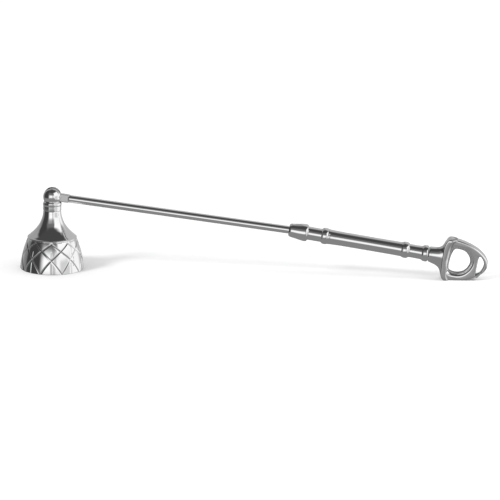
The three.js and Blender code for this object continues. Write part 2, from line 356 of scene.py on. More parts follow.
class Solid:
    """Points and faces of a closed shape in millimetres, with the painted shade that each point
    holds.
    """

    def __init__(self) -> None:
        """Starts with nothing."""
        self.points: list[Sequence[float]] = []
        self.faces: list[tuple[int, ...]] = []
        self.painted_shades: list[float] = []

    def ring(self, points: Sequence[Sequence[float]], painted_shade: float = 0.0) -> list[int]:
        """Adds a ring of points.

        Args:
            points: the points.
            painted_shade: how much painted shade they hold, from 0 to 1.

        Returns:
            The points' numbers.
        """
        first = len(self.points)
        self.points.extend(points)
        self.painted_shades.extend([painted_shade] * len(points))
        return list(range(first, first + len(points)))

    def bridge(self, one: Sequence[int], other: Sequence[int]) -> None:
        """Joins two rings with faces.

        Args:
            one: the numbers of a ring's points.
            other: those of the next ring; a ring of one point makes a fan.
        """
        count = max(len(one), len(other))
        for i in range(count):
            j = (i + 1) % count
            if len(one) == 1:
                self.faces.append((one[0], other[j], other[i]))
            elif len(other) == 1:
                self.faces.append((one[i], one[j], other[0]))
            else:
                self.faces.append((one[i], one[j], other[j], other[i]))

    def loft(self, rings: Sequence[Sequence[int]], closed: bool = False) -> None:
        """Joins a row of rings.

        Args:
            rings: the rings, in order.
            closed: whether the last is joined to the first.
        """
        for one, other in zip(rings, rings[1:]):
            self.bridge(one, other)
        if closed:
            self.bridge(rings[-1], rings[0])

    def turn(self, profile: Sequence[Point], segments: int, upright: bool,
             painted_shade_span: Point | None) -> None:
        """Turns a profile about the X axis, or about Z where it stands upright.

        Args:
            profile: (along, radius) points in millimetres; a radius of 0 closes the end, and a
                profile that never meets the axis is closed on itself.
            segments: facets round the axis.
            upright: whether the axis is Z.
            painted_shade_span: from where to where along the axis the surface gets painted shade,
                if it does.
        """
        rings = []
        for along, radius in profile:
            if radius < ON_AXIS:
                spots = [(along, 0.0, 0.0)]
            else:
                spots = [(along, radius * math.cos(a), radius * math.sin(a))
                         for a in spokes(segments)]
            if upright:
                spots = [(y, z, x) for x, y, z in spots]
            holds = painted_shade_span is not None and painted_shade_span[0] <= along <= painted_shade_span[1]
            rings.append(self.ring(spots, 1.0 if holds else 0.0))
        self.loft(rings, closed=profile[0][1] > ON_AXIS)

    def finish(self, name: str, place: Matrix, sharp: float = 40.0) -> bpy.types.Object:
        """Makes the object.

        Args:
            name: the piece's name.
            place: the matrix from millimetres about the shape's own origin to the frame.
            sharp: edges that turn by more than this many degrees stay sharp.

        Returns:
            An object at the origin, with its place in its mesh.
        """
        mesh = bpy.data.meshes.new(name)
        mesh.from_pydata(self.points, [], self.faces)
        # Each point's painted shade goes into the mask that the material darkens.
        mesh.attributes.new("engraving", "FLOAT", "POINT").data.foreach_set("value", self.painted_shades)
        mesh.transform(place @ Matrix.Scale(MM, 4))
        return dressed_mesh(name, mesh, sharp)


def turned_piece(name: str, profile: Sequence[Point], segments: int, place: Matrix,
                 sharp: float = 40.0, upright: bool = False,
                 painted_shade_span: Point | None = None) -> bpy.types.Object:
    """A closed piece turned from a profile.

    Args:
        name: the piece's name.
        profile: (along, radius) points, as Solid.turn takes them.
        segments: facets round the axis.
        place: the matrix to the frame.
        sharp: edges that turn by more than this many degrees stay sharp.
        upright: whether the axis is Z and not X.
        painted_shade_span: from where to where along the axis the surface gets painted shade, if it
            does.

    Returns:
        The object.
    """
    solid = Solid()
    solid.turn(profile, segments, upright, painted_shade_span)
    return solid.finish(name, place, sharp)


def dressed_mesh(name: str, mesh: bpy.types.Mesh, sharp: float = 40.0) -> bpy.types.Object:
    """Cleans a mesh, turns its faces outwards and smooths its shading.

    Args:
        name: the object's name.
        mesh: the mesh, in metres in the frame.
        sharp: edges that turn by more than this many degrees stay sharp.

    Returns:
        The linked object.
    """
    work = bmesh.new()
    work.from_mesh(mesh)
    bmesh.ops.remove_doubles(work, verts=work.verts, dist=1e-7)
    bmesh.ops.dissolve_degenerate(work, edges=work.edges, dist=1e-8)
    bmesh.ops.recalc_face_normals(work, faces=work.faces)
    work.to_mesh(mesh)
    work.free()
    mesh.polygons.foreach_set("use_smooth", [True] * len(mesh.polygons))
    mesh.set_sharp_from_angle(angle=math.radians(sharp))
    made = bpy.data.objects.new(name, mesh)
    bpy.context.scene.collection.objects.link(made)
    return made


def settle(made: bpy.types.Object) -> bpy.types.Object:
    """Turns an object's modifiers into plain mesh and removes them.

    Args:
        made: the object.

    Returns:
        The same object.
    """
    graph = bpy.context.evaluated_depsgraph_get()
    mesh = bpy.data.meshes.new_from_object(made.evaluated_get(graph), depsgraph=graph,
                                           preserve_all_data_layers=True)
    made.modifiers.clear()
    made.data = mesh
    return made


def combine(made: bpy.types.Object, other: bpy.types.Object, operation: str) -> None:
    """Joins or cuts one object with another, which is then deleted.

    Args:
        made: the object that is kept.
        other: the object that is joined to it or cut from it.
        operation: UNION or DIFFERENCE.
    """
    boolean = made.modifiers.new(operation.lower(), "BOOLEAN")
    boolean.operation = operation
    boolean.solver = "EXACT"
    boolean.object = other
    settle(made)
    bpy.data.objects.remove(other)


def flat_weighted(made: bpy.types.Object, sharp: float) -> None:
    """Gives flat faces their own normals up to their edges.

    Args:
        made: the object.
        sharp: edges that turn by more than this many degrees stay sharp.
    """
    made.data.polygons.foreach_set("use_smooth", [True] * len(made.data.polygons))
    made.data.set_sharp_from_angle(angle=math.radians(sharp))
    weighted = made.modifiers.new("weighted", "WEIGHTED_NORMAL")
    weighted.keep_sharp = True
    settle(made)


def quarter_round(radius: float, steps: int = 6) -> list[Point]:
    """(inset, depth) of a plain rounded edge, both from the face's plane, face first."""
    turns = np.linspace(0.0, math.pi / 2, steps + 1)
    return [(radius * (1 - math.sin(a)), radius * (1 - math.cos(a))) for a in turns]


def plate(name: str, loops: Sequence[tuple[Sequence[Point], Sequence[Point]]],
          thickness: float, place: Matrix, painted_shade_span: int = 0) -> bpy.types.Object:
    """A flat plate in the XZ plane with shaped edges, centred on Y.

    Args:
        name: the piece's name.
        loops: the outline and then each hole, with its edge as (inset, depth) from the face.
        thickness: along Y.
        place: the matrix to the frame.
        painted_shade_span: how many of each hole's last edge rows get painted shade.

    Returns:
        The object.
    """
    solid = Solid()
    caps: dict[int, list[list[int]]] = {-1: [], 1: []}
    for number, (loop, edge) in enumerate(loops):
        line = np.array(loop)
        ahead = np.roll(line, -1, axis=0) - np.roll(line, 1, axis=0)
        ahead /= np.linalg.norm(ahead, axis=1)[:, None]
        area = np.sum(line[:, 0] * np.roll(line[:, 1], -1) - np.roll(line[:, 0], -1) * line[:, 1])
        inwards = math.copysign(1.0, area) * (-1.0 if number else 1.0)
        normal = np.stack([-ahead[:, 1], ahead[:, 0]], axis=1) * inwards
        rings = []
        for side in (-1, 1):
            for step, (inset, deep) in enumerate(edge if side < 0 else edge[::-1]):
                row = step if side < 0 else len(edge) - 1 - step
                depth = side * (thickness / 2 - deep)
                shrunk = line + normal * inset
                painted_shade = 1.0 if number and row >= len(edge) - painted_shade_span else 0.0
                rings.append(solid.ring([(x, depth, z) for x, z in shrunk], painted_shade))
        solid.loft(rings)
        caps[-1].append(rings[0])
        caps[1].append(rings[-1])
    for rims in caps.values():
        numbers = [n for rim in rims for n in rim]
        flat = [[Vector((solid.points[n][0], solid.points[n][2], 0)) for n in rim]
                for rim in rims]
        for triangle in tessellate_polygon(flat):
            solid.faces.append(tuple(numbers[i] for i in triangle))
    return solid.finish(name, place, 35.0)


# ---------------------------------------------------------------- geometry nodes


class GeometryTool:
    """A geometry-node tree with named inputs, ready to be run on an object."""

    def __init__(self, name: str, sizes: dict[str, float]) -> None:
        """Makes the tree.

        Args:
            name: the tree's name.
            sizes: the name and value of each float input, beside the geometry itself.
        """
        self.tree = bpy.data.node_groups.new(name, "GeometryNodeTree")
        face = self.tree.interface
        face.new_socket("Geometry", in_out="INPUT", socket_type="NodeSocketGeometry")
        face.new_socket("Geometry", in_out="OUTPUT", socket_type="NodeSocketGeometry")
        for size in sizes:
            face.new_socket(size, in_out="INPUT", socket_type="NodeSocketFloat")
        self.sizes = sizes
        self.graph = Graph(self.tree)
        self.entry = self.graph.node("NodeGroupInput").socket.node

    def value(self, name: str) -> Wire:
        """One of the tree's inputs as a wire."""
        return Wire(self.graph, self.entry.outputs[name])

    def attribute(self, name: str) -> Wire:
        """A float attribute of the mesh as a wire."""
        kind = "GeometryNodeInputNamedAttribute"
        return self.graph.node(kind, {"data_type": "FLOAT"}, {"Name": name}, "Attribute")

    def close(self, geometry: Wire, material: bpy.types.Material) -> None:
        """Realizes instances, sets the material and ends the tree.

        Args:
            geometry: what the tree has made.
            material: the piece's material.
        """
        real = self.graph.node("GeometryNodeRealizeInstances", None, {"Geometry": geometry})
        shown = self.graph.node("GeometryNodeSetMaterial", None,
                                {"Geometry": real, "Material": material})
        self.graph.node("NodeGroupOutput", None, {"Geometry": shown})

    def run(self, made: bpy.types.Object) -> bpy.types.Object:
        """Runs the tree on an object and keeps the result as a plain mesh.

        Args:
            made: the object.

        Returns:
            The same object.
        """
        modifier = made.modifiers.new(self.tree.name, "NODES")
        modifier.node_group = self.tree
        for item in self.tree.interface.items_tree:
            if item.in_out == "INPUT" and item.name in self.sizes:
                modifier[item.identifier] = self.sizes[item.name]
        return settle(made)


# ---------------------------------------------------------------- places


@dataclass(frozen=True)
class Layout:
    """Where the sub-assemblies stand, from the frame's joint and the CAD's driving sizes."""

    pivot: Vector
    rod_tilt: float = math.radians(6.63)
    grip_bend: float = math.radians(1.75)
    grip_start: float = 150.9
    grip_length: float = 89.1

    def bell(self) -> Matrix:
        """The bell's axis at table height."""
        return Matrix.Translation((self.pivot.x, self.pivot.y, 0.0))

    def rod(self) -> Matrix:
        """The pivot, with X along the rod."""
        return Matrix.Translation(self.pivot) @ Matrix.Rotation(self.rod_tilt, 4, "Y")

    def grip(self) -> Matrix:
        """The front of the ferrule, with X along the grip."""
        start = Matrix.Translation((self.grip_start * MM, 0.0, 0.0))
        return self.rod() @ start @ Matrix.Rotation(self.grip_bend, 4, "Y")

    def seam(self) -> Matrix:
        """The seam between grip and stirrup, with X along the grip."""
        return self.grip() @ Matrix.Translation((self.grip_length * MM, 0.0, 0.0))


def install(made: bpy.types.Object, body: str, nodes: Sequence[str],
            finish: bpy.types.Material | None = None) -> None:
    """Dresses a piece and hangs it on the frame.

    Args:
        made: the piece.
        body: the frame's body that it rides on.
        nodes: the CAD nodes that it stands for.
        finish: its material, unless it has one.
    """
    if finish is not None:
        made.data.materials.clear()
        made.data.materials.append(finish)
    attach(made, body)
    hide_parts(*nodes)
    log.info("%s: %d faces, on %s, for %s", made.name, len(made.data.polygons), body,
             ", ".join(nodes))


# ---------------------------------------------------------------- bell


@dataclass
class Bell:
    """The spun bell with its diamond lattice, its knuckle, pin, washer and nut (millimetres)."""

    layout: Layout
    finishes: dict[str, bpy.types.Material]
    rim_radius: float = 20.1
    neck_top: float = 37.3
    ceiling: float = 32.8
    repeats: int = 9
    lattice_heights: tuple[float, ...] = (0.0, 8.8, 14.4, 19.0)
    lattice_turn: float = math.radians(-86.0)
    divisions: int = 32
    ball_radius: float = 5.9
    slot_width: float = 4.2
    slot_depth: float = 5.5
    stud_radius: float = 1.85
    stud_end: float = 28.0
    pin_radius: float = 1.5
    cutter_reach: float = 9.0

    def build(self) -> None:
        """Builds and installs the whole sub-assembly."""
        bright, zinc = self.finishes["knuckle"], self.finishes["fastener"]
        install(self.shell(), "bell", ["bell_shell"])
        install(self.knuckle(), "bell", ["fork_knuckle"], bright)
        install(self.pin(), "bell", ["pivot_pin"], bright)
        install(self.washer(), "bell", ["fork_washer"], zinc)
        install(self.nut(), "bell", ["fork_nut"], zinc)

    def skirt_radius(self, height: np.ndarray) -> np.ndarray:
        """Outer radius of the skirt, a cubic near its measured sizes.

        Args:
            height: above the rim.

        Returns:
            The radius.
        """
        heights = np.array([0.0, 5.8, 11.0, 16.0, 19.3])
        radii = np.array([self.rim_radius, 19.42, 18.35, 16.8, 15.55])
        return np.polyval(np.polyfit(heights, radii, 3), height)

    def row_curve(self) -> np.ndarray:
        """The cubic from lattice row to height, rounded to a tenth of a micrometre."""
        return np.round(np.polyfit(range(4), self.lattice_heights, 3), 4)

    def skirt_rows(self) -> list[tuple[float, float, float]]:
        """The engraved skirt, from the rim up.

        Returns:
            (height, radius, lattice row) of each row of points.
        """
        last_row, rim_round = 3.06, 0.22
        rows = np.arange(int(last_row * self.divisions) + 1) / self.divisions
        heights = np.polyval(self.row_curve(), rows)
        heights[0] = rim_round
        return list(zip(heights, self.skirt_radius(heights), rows))

    def plain_profile(self) -> list[Point]:
        """Everything above the skirt, down the inside and round the rim.

        Returns:
            (height, radius) of each row of points.
        """
        bead = [(19.42, 15.28), (19.62, 15.24), (19.82, 15.42), (20.05, 15.56), (20.32, 15.50),
                (20.55, 15.26), (20.66, 15.02)]
        neck = flowing([(20.75, 14.86), (21.6, 14.0), (22.9, 12.55), (24.3, 11.2), (25.8, 9.92),
                        (28.6, 7.95), (31.3, 6.8), (34.0, 5.95), (36.9, 5.6)], 4)
        mouth = [(self.neck_top, 5.45), (self.neck_top, 2.0), (self.ceiling, 2.0),
                 (self.ceiling, 4.7)]
        inside = flowing([(32.2, 5.1), (28.2, 6.85), (25.2, 8.9), (22.2, 11.8), (20.0, 13.9),
                          (18.2, 14.6), (11.0, 17.15), (5.0, 18.3), (0.25, 18.88)], 2)
        rim = [(0.06, 18.95), (0.0, 19.12), (0.0, 19.86), (0.06, 20.0)]
        return bead + neck + mouth + inside + rim

    def shell(self) -> bpy.types.Object:
        """The bell's shell, with the lattice cut into its skirt by geometry nodes.

        Returns:
            The finished piece, with its material.
        """
        unit = math.pi / self.repeats
        columns = 2 * self.repeats * self.divisions
        skirt = self.skirt_rows()
        plain = self.plain_profile()
        heights = np.array([row[0] for row in skirt] + [p[0] for p in plain])
        radii = np.array([row[1] for row in skirt] + [p[1] for p in plain])
        across = np.arange(columns) / self.divisions
        angles = across * unit + self.lattice_turn
        grid = np.empty((len(heights), columns, 3))
        grid[..., 0] = radii[:, None] * np.cos(angles)
        grid[..., 1] = radii[:, None] * np.sin(angles)
        grid[..., 2] = heights[:, None]
        mesh = bpy.data.meshes.new("bell_engraved_shell")
        mesh.from_pydata(grid.reshape(-1, 3).tolist(), [], self._facets(len(heights), len(skirt)))
        mesh.transform(self.layout.bell() @ Matrix.Scale(MM, 4))
        self._lattice_attributes(mesh, skirt, len(heights), across, unit)
        made = bpy.data.objects.new("bell_engraved_shell", mesh)
        bpy.context.scene.collection.objects.link(made)
        mesh.polygons.foreach_set("use_smooth", [True] * len(mesh.polygons))
        self._engraving_tool().run(made)
        made.data.set_sharp_from_angle(angle=math.radians(38.0))
        return made

    def _facets(self, row_count: int, skirt_count: int) -> list[tuple[int, ...]]:
        """Faces of the shell's grid; on the skirt, triangles whose long sides follow the lines.

        Args:
            row_count: rows of points, from the rim up and down the inside again.
            skirt_count: how many of them are on the skirt.

        Returns:
            The faces.
        """
        columns = 2 * self.repeats * self.divisions
        faces: list[tuple[int, ...]] = []
        for row in range(row_count):
            above = (row + 1) % row_count
            for column in range(columns):
                beside = (column + 1) % columns
                a, b = row * columns + column, row * columns + beside
                c, d = above * columns + beside, above * columns + column
                if row >= skirt_count - 1:
                    faces.append((a, b, c, d))
                    continue
                u, k = (column + 0.5) / self.divisions, (row + 0.5) / self.divisions
                rising = abs((u - k) % 2.0 - 1.0)
                falling = abs((u + k) % 2.0 - 1.0)
                if falling < rising:
                    faces += [(a, b, d), (b, c, d)]
                else:
                    faces += [(a, b, c), (a, c, d)]
        return faces

    def _lattice_attributes(self, mesh: bpy.types.Mesh, skirt: list, row_count: int,
                            across: np.ndarray, unit: float) -> None:
        """Stores each point's place in the lattice, and how long its steps are there.

        Args:
            mesh: the shell's mesh.
            skirt: (height, radius, row) up the skirt.
            row_count: rows of points in the whole shell.
            across: each column's place across the lattice, a diamond being 2 wide.
            unit: the angle of half a diamond.
        """
        rows = np.array([row[2] for row in skirt] + [0.0] * (row_count - len(skirt)))
        on_skirt = np.zeros(row_count)
        on_skirt[:len(skirt)] = 1.0
        on_skirt[-1] = 0.6
        sideways = self.skirt_radius(np.polyval(self.row_curve(), rows)) * unit
        upwards = np.polyval(np.polyder(self.row_curve()), rows)
        line_step = 1.0 / np.sqrt(1.0 / sideways ** 2 + 1.0 / upwards ** 2)
        columns = len(across)
        fields = {
            "lattice_across": np.tile(across, row_count),
            "lattice_row": np.repeat(rows, columns),
            "line_step": np.repeat(line_step, columns),
            "side_step": np.repeat(sideways, columns),
            "on_skirt": np.repeat(on_skirt, columns),
        }
        for name, values in fields.items():
            mesh.attributes.new(name, "FLOAT", "POINT").data.foreach_set(
                "value", values.astype(np.float32))

    def _engraving_tool(self) -> GeometryTool:
        """The tree that cuts the crossing lines and the short upright cuts.

        Returns:
            The tool, which reads the lattice attributes and stores the engraving.
        """
        tool = GeometryTool("engraved_lattice", {
            "Line depth": 0.34, "Line half width": 0.62, "Pillow": 0.07,
            "Low cut half width": 0.50, "High cut half width": 0.26, "Cut depth": 0.26})
        graph = tool.graph
        across, row = tool.attribute("lattice_across"), tool.attribute("lattice_row")
        step, side = tool.attribute("line_step"), tool.attribute("side_step")
        falling = (across + row - 1.0).fold(2.0)
        rising = (across - row + 1.0).fold(2.0)
        column = across.fold(2.0) * side
        first, second, low, high = (
            1 - (away / tool.value(width)).math("MINIMUM", 1.0)
            for away, width in ((falling * step, "Line half width"),
                                (rising * step, "Line half width"),
                                (column, "Low cut half width"), (column, "High cut half width")))
        lines = first.math("MAXIMUM", second)
        cuts = (low * (1 - row.step(0.70, 0.80))).math(
            "MAXIMUM", 0.6 * high * row.between(1.22, 1.9, 0.12))
        depth = (lines * tool.value("Line depth")).math("MAXIMUM", cuts * tool.value("Cut depth"))
        for away in (falling, rising):
            depth = depth + tool.value("Pillow") * (1 - away) * (1 - away)
        total = depth * tool.attribute("on_skirt")
        normal = graph.node("GeometryNodeInputNormal")
        offset = graph.node("ShaderNodeVectorMath", {"operation": "SCALE"},
                            {0: normal, "Scale": total * -MM})
        moved = graph.node("GeometryNodeSetPosition", None, {
            "Geometry": tool.value("Geometry"), "Offset": offset})
        stored = graph.node("GeometryNodeStoreNamedAttribute",
                            {"data_type": "FLOAT", "domain": "POINT"},
                            {"Geometry": moved, "Name": "engraving",
                             "Value": lines.math("MAXIMUM", cuts) * tool.attribute("on_skirt")})
        tool.close(stored, self.finishes["bell"])
        return tool

    def knuckle(self) -> bpy.types.Object:
        """The slotted ball on its collar, with the stud below it.

        Returns:
            The finished piece, with its material.
        """
        ball, pivot = self.ball_radius, self.layout.pivot.z / MM
        end, stud, neck, crease = self.stud_end, self.stud_radius, self.neck_top, 43.35
        lower = rounded([(end, 0.0, 0), (end, 1.45, 0.1), (end + 0.45, stud, 0.1),
                         (neck - 0.4, stud, 0), (neck + 0.04, stud + 0.1, 0),
                         (neck + 0.04, 5.5, 0.1), (neck + 0.3, 5.76, 0.1),
                         (39.4, 5.76, 0.9), (40.7, 5.72, 0.4), (41.1, 6.0, 0.5),
                         (42.7, 5.98, 0.6), (crease - 0.2, 5.2, 0.2), (crease, 5.05, 0)])
        start = math.asin((crease - pivot) / ball)
        upper = [(z, r) for r, z in arc((0.0, pivot), ball, start, math.pi / 2, 40)]
        made = turned_piece("knuckle_slotted_ball", lower + upper[:-1] + [(pivot + ball, 0.0)],
                            160, self.layout.bell(), 50.0, upright=True)
        self._thread_tool().run(made)
        combine(made, self._slot_cutter(pivot), "DIFFERENCE")
        combine(made, self._bore_cutter(pivot), "DIFFERENCE")
        made.data.set_sharp_from_angle(angle=math.radians(40.0))
        return made

    def _slot_cutter(self, pivot: float) -> bpy.types.Object:
        """The slot between the two cheeks, with a slightly rounded floor.

        Args:
            pivot: the pin's height.

        Returns:
            The cutter.
        """
        half, floor, reach = self.slot_width / 2, pivot - self.slot_depth, self.cutter_reach
        outline = rounded([(0.0, floor, 0), (half, floor, 0.5), (half, pivot + reach, 0),
                           (0.0, pivot + reach, 0)])
        outline += [(-y, z) for y, z in outline[-2:0:-1]]
        solid = Solid()
        ends = [solid.ring([(x, y, z) for y, z in outline]) for x in (-reach, reach)]
        solid.bridge(*ends)
        solid.faces += [tuple(reversed(ends[0])), tuple(ends[1])]
        return solid.finish("slot_cutter", self.layout.bell())

    def _bore_cutter(self, pivot: float) -> bpy.types.Object:
        """The pin's bore through both cheeks.

        Args:
            pivot: the pin's height.

        Returns:
            The cutter.
        """
        reach, radius = self.cutter_reach, self.pin_radius + 0.04
        profile = [(-reach, 0.0), (-reach, radius), (reach, radius), (reach, 0.0)]
        along_y = Matrix.Translation((0, 0, pivot * MM)) @ Matrix.Rotation(math.pi / 2, 4, "Z")
        return turned_piece("bore_cutter", profile, 64, self.layout.bell() @ along_y)

    def _thread_tool(self) -> GeometryTool:
        """The tree that cuts the thread into the stud.

        Returns:
            The tool.
        """
        tool = GeometryTool("stud_thread", {"Pitch": 0.7, "Depth": 0.28,
                                            "Top": self.ceiling, "Reach": self.stud_radius + 0.05})
        graph = tool.graph
        place = graph.node("GeometryNodeInputPosition")
        centred = graph.node("ShaderNodeVectorMath", {"operation": "SUBTRACT"},
                             {0: place, 1: self.layout.bell().translation})
        parts = graph.node("ShaderNodeSeparateXYZ", None, {0: centred}).socket.node
        x, y, z = (Wire(graph, parts.outputs[i]) / MM for i in range(3))
        turns = y.math("ARCTAN2", x) / FULL_TURN
        phase = (z / tool.value("Pitch") - turns).fold(1.0) * 2.0
        radius = (x * x + y * y).math("SQRT")
        mask = (radius.math("LESS_THAN", tool.value("Reach"))
                * z.math("LESS_THAN", tool.value("Top"))
                * radius.math("GREATER_THAN", self.stud_radius - 0.1))
        flat = graph.node("ShaderNodeCombineXYZ", None, {0: x, 1: y, 2: 0.0})
        inward = graph.node("ShaderNodeVectorMath", {"operation": "NORMALIZE"}, {0: flat})
        offset = graph.node("ShaderNodeVectorMath", {"operation": "SCALE"},
                            {0: inward, "Scale": phase * mask * tool.value("Depth") * -MM})
        moved = graph.node("GeometryNodeSetPosition", None, {
            "Geometry": tool.value("Geometry"), "Offset": offset})
        tool.close(moved, self.finishes["knuckle"])
        return tool

    def pin(self) -> bpy.types.Object:
        """The rivet, its ends dressed flush with the ball.

        Returns:
            The piece.
        """
        ball, radius = self.ball_radius - 0.02, self.pin_radius
        turn = math.asin(radius / ball)
        cap = [(ball * math.cos(a), ball * math.sin(a)) for a in np.linspace(turn, 0.0, 9)]
        cap[-1] = (ball, 0.0)
        half = [(-x, r) for x, r in reversed(cap)]
        place = Matrix.Translation(self.layout.pivot) @ Matrix.Rotation(math.pi / 2, 4, "Z")
        return turned_piece("pin_flush_rivet", half + cap, 64, place)

    def washer(self) -> bpy.types.Object:
        """The washer between the neck and the nut.

        Returns:
            The piece.
        """
        low, high = self.ceiling - 1.1, self.ceiling - 0.05
        profile = [(low, 2.1), (low, 4.2), (low + 0.2, 4.4), (high - 0.2, 4.4), (high, 4.2),
                   (high, 2.1)]
        return turned_piece("washer_turned", profile, 96, self.layout.bell(), 30.0, upright=True)

    def nut(self) -> bpy.types.Object:
        """The hexagon nut, chamfered on both faces.

        Returns:
            The piece.
        """
        flats, height, bore = 3.5, 2.4, 2.02
        top = self.ceiling - 1.15
        solid = Solid()
        angles = spokes(96)
        side = flats / np.cos((angles + math.pi / 6) % (math.pi / 3) - math.pi / 6)
        face = [(0.0, np.full(96, bore)), (0.0, np.minimum(side, flats)),
                (0.28, np.minimum(side, 3.95)), (0.42, side)]
        rings = []
        for drop, radii in face + [(height - drop, radii) for drop, radii in reversed(face)]:
            rings.append(solid.ring([(r * math.cos(a), r * math.sin(a), top - drop)
                                     for r, a in zip(radii, angles)]))
        solid.loft(rings, closed=True)
        return solid.finish("nut_hexagon", self.layout.bell(), 25.0)


# ---------------------------------------------------------------- handle


@dataclass
class Handle:
    """The tongue, rod, ferrule, grip, stirrup and their stud (millimetres)."""

    layout: Layout
    finishes: dict[str, bpy.types.Material]
    rod_radius: float = 2.4
    rod_start: float = 10.8
    rod_insert: float = 24.0
    tongue_height: float = 5.0
    tongue_thickness: float = 3.6
    eye_radius: float = 3.4
    ferrule_length: float = 12.1
    waist_radius: float = 4.17
    main_radius: float = 4.42
    node_radius: float = 5.14
    seam_radius: float = 4.78

    def build(self) -> None:
        """Builds and installs the whole sub-assembly."""
        finish = self.finishes
        install(self.tongue(), "handle", ["rod_eye"], finish["tongue"])
        install(self.rod(), "handle", ["rod"], finish["rod"])
        install(self.ferrule(), "handle", ["handle_ferrule"], finish["handle"])
        install(self.grip(), "handle", ["handle_grip"], finish["handle"])
        install(self.stud(), "handle", ["stirrup_stud"], finish["fastener"])
        stirrup = Stirrup(self.layout, self.seam_radius).build()
        install(stirrup, "handle", ["stirrup"], finish["handle"])

    def tongue(self) -> bpy.types.Object:
        """The flat tongue with its eye, and the spigot that goes into the rod.

        Returns:
            The finished piece.
        """
        half, eye = self.tongue_height / 2, self.eye_radius
        spread = math.asin(half / eye)
        outline = arc((0.0, 0.0), eye, spread, FULL_TURN - spread, 48)
        end = self.rod_start - 0.05
        outline += rounded([(end - 2.0, -half, 0), (end, -half, 0.35), (end, half, 0.35),
                            (end - 2.0, half, 0)])
        hole = arc((0.0, 0.0), 1.56, 0.0, FULL_TURN * 47 / 48, 47)
        loops = [(outline, quarter_round(0.6)), (hole, quarter_round(0.15))]
        made = plate("tongue_with_eye", loops, self.tongue_thickness, self.layout.rod())
        spigot = [(end - 1.0, 0.0), (end - 1.0, 1.5), (17.6, 1.5), (18.0, 1.1), (18.0, 0.0)]
        combine(made, turned_piece("spigot", spigot, 48, self.layout.rod()), "UNION")
        flat_weighted(made, 35.0)
        return made

    def rod(self) -> bpy.types.Object:
        """The drawn rod, with a blind bore for the tongue's spigot.

        Returns:
            The piece.
        """
        radius, start = self.rod_radius, self.rod_start
        end = self.layout.grip_start + self.rod_insert
        steps = [(x, radius, 0.0) for x in np.linspace(start + 6.0, end - 6.0, 24)]
        profile = rounded([(18.6, 0.0, 0), (18.6, 1.62, 0), (start + 0.3, 1.62, 0.1),
                           (start, 1.9, 0.05), (start, radius, 0.28), *steps,
                           (end, radius, 0.4), (end, 0.0, 0)])
        return turned_piece("rod_drawn", profile, 96, self.layout.rod())

    def ferrule(self) -> bpy.types.Object:
        """The flared collar at the front of the grip.

        Returns:
            The piece.
        """
        length, bore = self.ferrule_length, self.rod_radius + 0.22
        flare = flowing([(0.28, 3.78), (1.4, 4.25), (3.4, 4.52), (5.7, 4.9), (7.7, 5.22),
                         (9.6, 5.42), (10.9, 5.38), (11.6, 5.08), (length - 0.05, 4.5)], 5)
        profile = [(0.9, bore), (0.2, bore + 0.05), (0.0, bore + 0.3), (0.0, 3.2), (0.12, 3.5),
                   *flare, (length, 4.3), (length, bore), (length - 2.0, bore)]
        # The front face where the rod enters is darkened: painted shadow.
        return turned_piece("ferrule_flared", profile, 128, self.layout.grip(), 38.0,
                            painted_shade_span=(-0.1, 0.3))

    def node(self, start: float, before: float, after: float) -> list[Point]:
        """Knots of one raised node: a short step, a rounded crown and a quick fall.

        Args:
            start: where the step begins.
            before: the grip's radius before it.
            after: the radius after it.

        Returns:
            (along, radius) knots.
        """
        crown = self.node_radius
        return [(start - 0.9, before), (start - 0.15, before + 0.08), (start + 0.45, crown - 0.32),
                (start + 1.3, crown - 0.08), (start + 2.3, crown), (start + 3.2, crown - 0.1),
                (start + 4.0, crown - 0.42), (start + 4.5, after + 0.12), (start + 5.4, after)]

    def grip(self) -> bpy.types.Object:
        """The cast grip with its three raised nodes.

        Returns:
            The piece.
        """
        start, end = self.ferrule_length + 0.02, self.layout.grip_length - 0.05
        waist, main = self.waist_radius, self.main_radius
        knots = [(start, 4.28), (start + 0.7, waist + 0.02), (15.2, waist), (18.0, waist),
                 *self.node(20.9, waist, main + 0.24), (28.5, main + 0.15), (32.5, main + 0.03),
                 (40.0, main), (50.0, main - 0.02), (60.0, main), (67.0, main + 0.02),
                 *self.node(72.0, main + 0.06, waist), (79.5, waist), (82.7, waist + 0.05)]
        last = [(84.1, waist + 0.14), (84.9, waist + 0.3), (85.4, 4.84), (86.3, 5.1), (87.3, 5.2),
                (88.2, 5.08), (end - 0.45, self.seam_radius + 0.05)]
        bore = self.rod_radius + 0.45
        groove = self.seam_radius - 0.5
        profile = [(start, bore), *flowing(knots + last, 5), (end - 0.1, groove),
                   (end, groove - 0.1), (end, 2.2), (end - 9.0, 2.2), (end - 9.4, 0.0)]
        front = [(34.0, 0.0), (33.5, bore)]
        # The end at the seam is darkened: painted shade in the seam.
        return turned_piece("grip_bamboo", front + profile, 128, self.layout.grip(), 38.0,
                            painted_shade_span=(end - 0.3, end + 1.0))

    def stud(self) -> bpy.types.Object:
        """The stud across the seam between grip and stirrup.

        Returns:
            The piece.
        """
        middle, reach = self.layout.grip_length, 8.6
        profile = rounded([(middle - reach, 0.0, 0), (middle - reach, 2.0, 0.3),
                           (middle + reach, 2.0, 0.3), (middle + reach, 0.0, 0)])
        return turned_piece("stud_seam", profile, 48, self.layout.grip())


